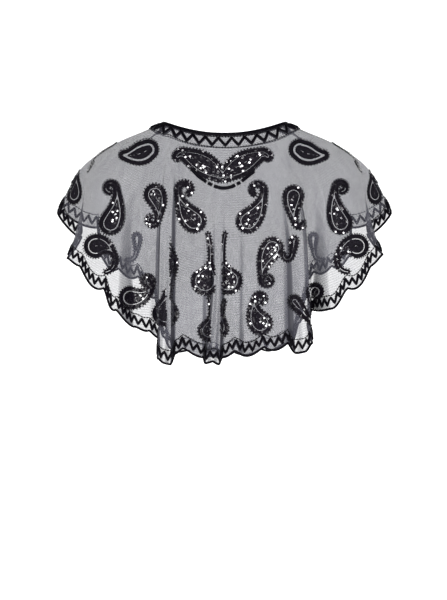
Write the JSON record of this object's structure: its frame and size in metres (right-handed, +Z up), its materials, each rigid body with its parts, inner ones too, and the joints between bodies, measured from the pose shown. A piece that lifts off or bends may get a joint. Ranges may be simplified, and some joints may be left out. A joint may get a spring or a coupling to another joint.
{
  "type": "sheer beaded sequin cape",
  "caption": "Short sheer black evening cape of net with bead and sequin paisleys, a bound neck, winged sides, tube-like flutes and a scalloped beaded hem, as worn.",
  "frame": {"origin": "middle of the neck opening, level with the two points where the neckline lies on the shoulders", "axes": "+Z up along the wearer's neck, +X to the right as seen from the front, the front faces -Y"},
  "size_m": [0.5431, 0.289, 0.3893],
  "materials": {
    "net": "fine sheer black net, matt, with faint level ribs",
    "binding": "black satin stitch and folded bias binding, low sheen",
    "beads": "small round black glass beads, glossy",
    "sequins": "flat and cupped black sequins, mirror gloss"
  },
  "bodies": {
    "root": {"front_panel": "net", "back_panel": "net", "neck_binding": "binding", "hem_edging": "binding"}
  },
  "joints": []
}
